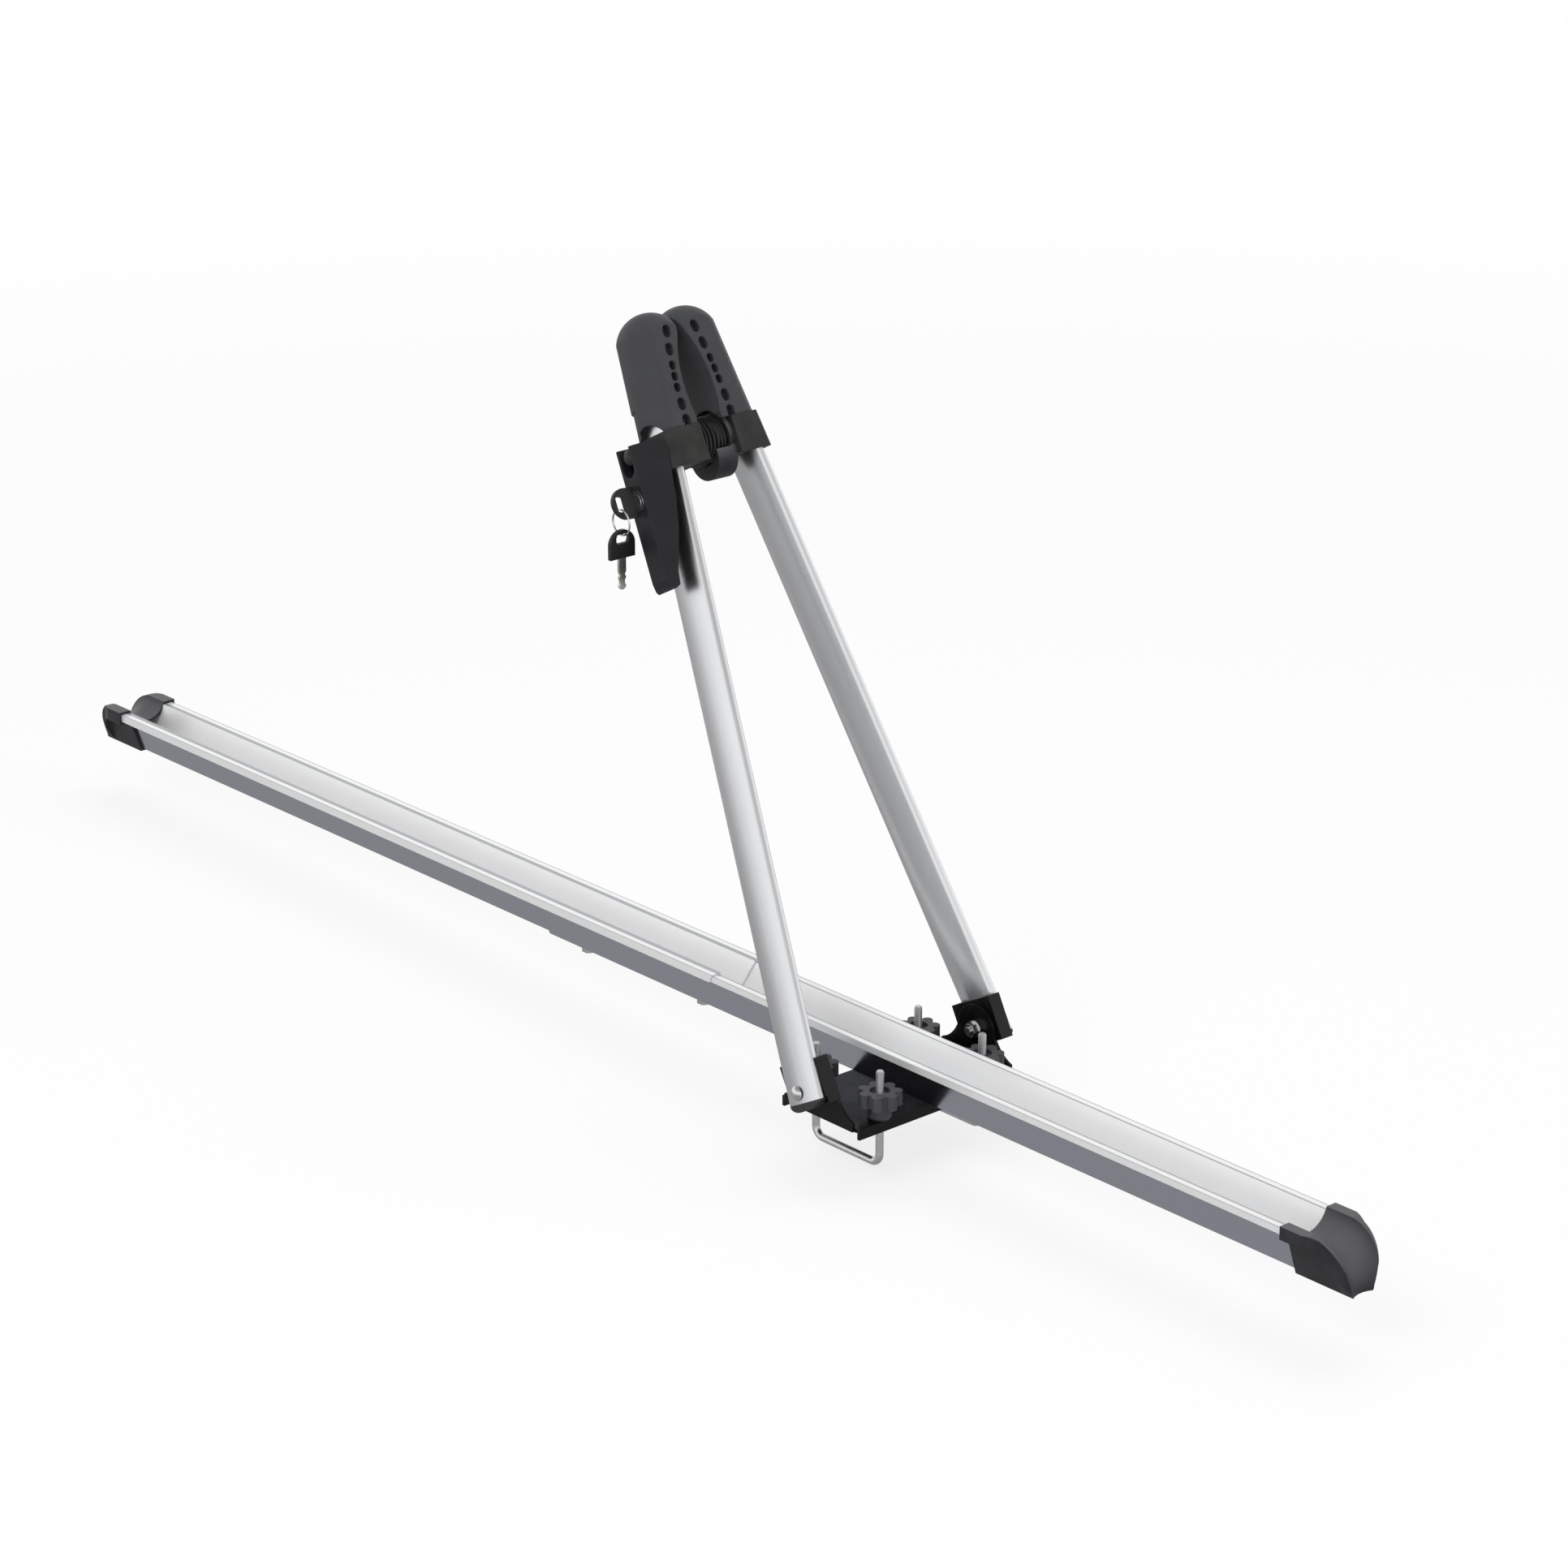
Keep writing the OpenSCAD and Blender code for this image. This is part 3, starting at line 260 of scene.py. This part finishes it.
# moulded black plastic and rubber: fine grain, paler rubbed edges, and a paler colour painted on what faces up as
# painted top light
def moulded(name, tone, pale, rough, grain, shine, edge=0.0006, wear=0.5, mottle=0.25, dustAndTopLight=0.0):
    f = Finish(name)
    fine = f.noise(grain, 3.0, 0.6)
    cells = f.node("ShaderNodeTexVoronoi", None, {"Vector": f.place, "Scale": grain * 0.6})
    cloud = f.noise(45.0, 4.0, 0.6)
    wearAndEdgeShade, soft = f.edges(edge)
    colour = f.blend(cloud.step(0.35, 0.75) * mottle, tone, pale)
    colour = f.blend(wearAndEdgeShade * wear * (0.4 + fine), colour, pale)
    # surfaces that face up are painted paler: painted top light, not dust
    if dustAndTopLight:
        upward = f.parts(f.node("ShaderNodeTexCoord", out="Normal"))[2].step(0.05, 0.8)
        colour = f.blend(upward * dustAndTopLight, colour, pale)
    roughness = rough + 0.16 * (fine - 0.5) + 0.10 * (cloud - 0.5)
    height = fine * 0.6 + cells * 0.4
    return f.put(colour=colour, rough=roughness, shine=shine, normal=f.bump(height, 0.35, mouldingDepth, soft))


# gloss black paint over pressed steel, with a slight orange peel
gloss = {"tone": (0.004, 0.004, 0.0045), "pale": (0.034, 0.034, 0.035), "rough": 0.22, "dustRough": 0.20,
         "coat": 0.08, "coatRough": 0.10, "shine": 0.2, "edge": 0.0006, "peel": 420.0, "peelDepth": 0.0001}


def glossPaint(name):
    f = Finish(name)
    peel = f.noise(gloss["peel"], 2.0, 0.5)
    dustAndTopLight = f.noise(60.0, 5.0, 0.65)
    wearAndEdgeShade, soft = f.edges(gloss["edge"])
    colour = f.blend(wearAndEdgeShade * 0.4 + dustAndTopLight.step(0.55, 0.85) * 0.2, gloss["tone"], gloss["pale"])
    rough = gloss["rough"] + gloss["dustRough"] * dustAndTopLight.step(0.4, 0.8)
    return f.put(colour=colour, rough=rough, coat=gloss["coat"], coatRough=gloss["coatRough"], shine=gloss["shine"],
                 normal=f.bump(peel, 0.12, gloss["peelDepth"], soft))


# bright zinc plating; a thread's turns are rolled above the height start, and their troughs are painted darker as
# painted shade
plating = {"dull": (0.64, 0.645, 0.66), "light": (0.72, 0.725, 0.73), "wearAndEdgeShade": (0.85, 0.85, 0.85),
           "grooveShade": (0.34, 0.34, 0.35), "rough": 0.24, "threadRough": 0.36, "edge": 0.0004, "depth": 0.00005}
studThread = {"pitch": 0.001, "start": 0.004, "fade": 0.001, "depth": 0.0002}


def zincPlate(name, thread=None):
    f = Finish(name)
    spangle = f.noise(220.0, 3.0, 0.6)
    fine = f.noise(1400.0, 2.0, 0.5)
    wearAndEdgeShade, soft = f.edges(plating["edge"])
    tone = f.blend(spangle.step(0.3, 0.7), plating["dull"], plating["light"])
    tone = f.blend(wearAndEdgeShade * 0.4, tone, plating["wearAndEdgeShade"])
    normal = f.bump(fine, 0.2, plating["depth"], soft)
    rough = plating["threadRough" if thread else "rough"] + 0.08 * (spangle - 0.4)
    if thread:
        z = f.parts(f.place)[2]
        rolled = z.step(thread["start"], thread["start"] + thread["fade"])
        turns = (z * (fullTurn / thread["pitch"])).calc("SINE") * rolled
        normal = f.bump(turns, 0.5, thread["depth"], normal)
        # the troughs of the rolled turns are painted darker: painted shade in the grooves
        tone = f.blend((0.0 - turns).step(0.2, 0.9) * 0.45, tone, plating["grooveShade"])
    return f.put(colour=tone, rough=rough, metal=1.0, normal=normal)


# polished chrome of the lock and the ring
chromeLook = {"dull": (0.70, 0.70, 0.71), "light": (0.80, 0.80, 0.80), "rough": 0.12, "edge": 0.0003, "depth": 0.0001}


def lockChrome(name):
    f = Finish(name)
    cloud = f.noise(160.0, 3.0, 0.5)
    soft = f.edges(chromeLook["edge"])[1]
    tone = f.blend(cloud.step(0.3, 0.8), chromeLook["dull"], chromeLook["light"])
    return f.put(colour=tone, rough=chromeLook["rough"] + 0.06 * cloud, metal=1.0,
                 normal=f.bump(cloud, 0.03, chromeLook["depth"], soft))


# keys: a black moulded bow, bow metres long, and a warm nickel blade; axis runs from bow to blade
keys = {"bow": 0.0215, "axis": {"lock_key": (0.0243, 0.9986, -0.0463), "spare_key": (0.0, 0.0, -1.0)},
        "bowTone": (0.011, 0.011, 0.012), "bowWorn": (0.06, 0.06, 0.062), "bladeDull": (0.50, 0.47, 0.43),
        "bladeLight": (0.66, 0.63, 0.58), "rough": 0.42, "bladePolish": 0.12, "shine": 0.35, "edge": 0.0004,
        "seam": 0.0001, "depth": 0.00008}


def keyFinish(name, key, axis):
    f = Finish(name)
    shoulder = min(point.co.dot(Vector(axis)) for point in key.data.vertices) + keys["bow"]
    fine = f.noise(1600.0, 3.0, 0.6)
    cloud = f.noise(180.0, 3.0, 0.5)
    wearAndEdgeShade, soft = f.edges(keys["edge"])
    along = f.node("ShaderNodeVectorMath", {"operation": "DOT_PRODUCT"}, {0: f.place, 1: axis}, out="Value")
    blade = along.step(shoulder - keys["seam"], shoulder + keys["seam"])
    bow = f.blend(wearAndEdgeShade * 0.5, keys["bowTone"], keys["bowWorn"])
    steel = f.blend(cloud.step(0.3, 0.7), keys["bladeDull"], keys["bladeLight"])
    rough = keys["rough"] - keys["bladePolish"] * blade + 0.12 * (fine - 0.5)
    return f.put(colour=f.blend(blade, bow, steel), metal=blade, shine=keys["shine"], rough=rough,
                 normal=f.bump(fine, 0.25, keys["depth"], soft))


rearRailMetal = anodisedMetal("rearRailAnodised", lip=railLook["rearLip"])
frontRailMetal = anodisedMetal("frontRailAnodised", lip=railLook["frontLip"])
nearTubeMetal = anodisedMetal("nearTubeAnodised", turn=(-tubeLook["splay"], tubeLook["lean"], 0))
farTubeMetal = anodisedMetal("farTubeAnodised", turn=(tubeLook["splay"], tubeLook["lean"], 0))
basePaint = glossPaint("baseGlossPaint")
plastic = {name: moulded(name, **look) for name, look in mouldings.items()}
zinc = zincPlate("zincPlate")
studZinc = zincPlate("studZinc", studThread)
barrelSteel = zincPlate("barrelSteel")
chrome = lockChrome("lockChrome")
print("finishes made")

# zinc is on every node that isn't named here, apart from the knobs and keys
finishOf = {
    rearRailMetal: ("rear_rail",), frontRailMetal: ("front_rail",),
    nearTubeMetal: ("near_tube",), farTubeMetal: ("far_tube",),
    basePaint: ("base_bracket", "near_saddle", "far_saddle"), barrelSteel: ("lever_barrel",),
    chrome: ("lock_housing", "lock_plug", "key_ring"), studZinc: ("near_ubolt", "far_ubolt"),
    plastic["capPlastic"]: ("rear_end_cap", "front_end_cap", "near_plug", "far_plug", "spring_cup"),
    plastic["padRubber"]: ("bar_pad",), plastic["collarPlastic"]: ("near_collar", "far_collar"),
    plastic["jawRubber"]: ("near_jaw", "far_jaw"), plastic["leverPlastic"]: ("cam_lever",),
    plastic["endNutBlack"]: ("rod_end_nut", "knob_washers"),
}
chosen = {name: finish for finish, names in finishOf.items() for name in names}
for name, node in nodes.items():
    if name.endswith("_knob"):
        finish = plastic["knobPlastic"]
    elif name.endswith("_key"):
        finish = keyFinish(name.replace("_key", "KeyFinish"), node, keys["axis"][name])
    else:
        finish = chosen.get(name, zinc)
    node.data.materials.clear()
    node.data.materials.append(finish)


# coil spring of the clamp, wound round the rod; its pitch closes a little at both ends
spring = {"middle": (-0.22173, -0.00025, 0.45283), "radius": 0.0172, "length": 0.0253, "turns": 8.0,
          "wire": 0.0008, "steps": 400, "sides": 14, "closing": 0.22}


def coilSpring():
    tree = ShapeTree("clampCoil", {key: item for key, item in spring.items() if key != "middle"})
    line = tree.node("GeometryNodeCurvePrimitiveLine", None, {"End": (0.0, 1.0, 0.0)})
    line = tree.node("GeometryNodeResampleCurve", None, {"Curve": line, "Count": tree.size("steps")})
    share = tree.node("GeometryNodeSplineParameter", out="Factor")
    turn = share * tree.size("turns") * fullTurn
    rise = share - tree.size("closing") * (share * fullTurn).calc("SINE") / fullTurn
    x, y, z = spring["middle"]
    place = tree.vector(turn.calc("COSINE") * tree.size("radius") + x, (rise - 0.5) * tree.size("length") + y,
                        turn.calc("SINE") * tree.size("radius") + z)
    line = tree.node("GeometryNodeSetPosition", None, {"Geometry": line, "Position": place})
    wire = tree.node("GeometryNodeCurvePrimitiveCircle", None,
                     {"Resolution": tree.size("sides"), "Radius": tree.size("wire")})
    coil = tree.build(tree.node("GeometryNodeCurveToMesh", None, {0: line, 1: wire, "Fill Caps": True}),
                      plastic["springBlack"])
    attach(coil, "far_arm")
    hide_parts("clamp_spring")
    return coil


print("spring wound:", len(coilSpring().data.polygons), "faces")


# soft studio light; metal mirrors a room that is brightest just above the horizon
studio = {"fill": 0.55, "horizon": 1.22, "below": 0.36, "above": 0.42, "belowFade": (-0.42, 0.20),
          "aboveFade": (0.25, 0.62)}
# pale floor that turns plain white clear of the object; drop clears the U-bolts let down by 12 mm
floorLook = {"tone": (0.88, 0.88, 0.88), "rough": 0.9, "glow": 0.80, "clear": (1.2, 3.5), "half": 40.0, "drop": 0.0125}
lamps = {
    "keySoftbox": {"place": (0.6, -2.6, 2.8), "target": (0, 0, 0.2), "size": (2.2, 1.6), "watts": 50.0},
    "topSoftbox": {"place": (-0.4, 0.8, 3.2), "target": (0, 0, 0.1), "size": (3.0, 2.0), "watts": 42.0},
    "sideSoftbox": {"place": (3.0, 1.4, 1.6), "target": (0, 0, 0.2), "size": (1.4, 2.0), "watts": 12.0},
}


# strength of the room for a mirrored ray in the given direction
def roomLight(graph, direction):
    up = graph.parts(direction)[2]
    level = studio["below"] + (studio["horizon"] - studio["below"]) * up.step(*studio["belowFade"])
    return level - (studio["horizon"] - studio["above"]) * up.step(*studio["aboveFade"])


def studioWorld():
    world = bpy.data.worlds.new("studioWorld")
    scene.world = world
    world.use_nodes = True
    tree = world.node_tree
    graph = Graph(tree)
    white = (1.0, 1.0, 1.0, 1.0)
    plain = tree.nodes["Background"]
    plain.inputs["Color"].default_value = white
    plain.inputs["Strength"].default_value = studio["fill"]
    seen = graph.node("ShaderNodeLightPath", out="Is Camera Ray")
    shiny = graph.node("ShaderNodeLightPath", out="Is Glossy Ray")
    around = graph.node("ShaderNodeTexCoord", out="Generated")
    room = graph.node("ShaderNodeBackground", None, {"Color": white, "Strength": roomLight(graph, around)})
    paper = graph.node("ShaderNodeBackground", None, {"Color": white, "Strength": 1.0})
    mix = graph.node("ShaderNodeMixShader", None, {0: shiny, 1: Value(tree, plain.outputs[0]), 2: room})
    mix = graph.node("ShaderNodeMixShader", None, {0: seen, 1: mix, 2: paper})
    tree.links.new(mix.socket, tree.nodes["World Output"].inputs["Surface"])


def studioFloor(level):
    half = floorLook["half"]
    mesh = bpy.data.meshes.new("studioFloor")
    mesh.from_pydata([(-half, -half, level), (half, -half, level), (half, half, level), (-half, half, level)],
                     [], [(0, 1, 2, 3)])
    floor = bpy.data.objects.new("studioFloor", mesh)
    scene.collection.objects.link(floor)
    floor.visible_glossy = False  # metal mirrors the room below the horizon instead
    f = Finish("floorPaint")
    f.put(colour=floorLook["tone"], rough=floorLook["rough"])
    seen = f.node("ShaderNodeLightPath", out="Is Camera Ray")
    paper = f.node("ShaderNodeEmission", None, {"Strength": 1.0})
    matt = Value(f.tree, f.shader.outputs[0])
    away = f.node("ShaderNodeVectorMath", {"operation": "LENGTH"}, {0: f.place}, out="Value")
    blank = seen * (floorLook["glow"] + (1.0 - floorLook["glow"]) * away.step(*floorLook["clear"]))
    mix = f.node("ShaderNodeMixShader", None, {0: blank, 1: matt, 2: paper})
    f.tree.links.new(mix.socket, f.tree.nodes["Material Output"].inputs["Surface"])
    mesh.materials.append(f.material)


def softbox(name, place, target, size, watts):
    lamp = bpy.data.lights.new(name, "AREA")
    lamp.shape, lamp.size, lamp.size_y, lamp.energy = "RECTANGLE", size[0], size[1], watts
    holder = bpy.data.objects.new(name, lamp)
    holder.location = place
    holder.rotation_euler = (Vector(target) - Vector(place)).to_track_quat("-Z", "Y").to_euler()
    holder.visible_glossy = False  # metal mirrors the room, not the lamps
    scene.collection.objects.link(holder)


studioWorld()
studioFloor(cadBox[0][2] - floorLook["drop"])
for name, lamp in lamps.items():
    softbox(name, **lamp)
print("studio lit")

# the photograph's view; frame and focal length in pixels
view = {"place": (2.17584, -2.04195, 1.33686), "azimuth": 48.45, "elevation": 20.12, "focal": 5436.56,
        "frame": 1932.0, "sensor": 36.0, "clip": (0.05, 200.0)}
camera = bpy.data.cameras.new("photoCamera")
camera.sensor_fit, camera.sensor_width = "HORIZONTAL", view["sensor"]
camera.lens = view["sensor"] * view["focal"] / view["frame"]
camera.clip_start, camera.clip_end = view["clip"]
cameraHolder = bpy.data.objects.new("photoCamera", camera)
cameraHolder.location = view["place"]
cameraHolder.rotation_euler = (math.radians(90.0 - view["elevation"]), 0.0, math.radians(view["azimuth"]))
scene.collection.objects.link(cameraHolder)
scene.camera = cameraHolder
print("camera set")
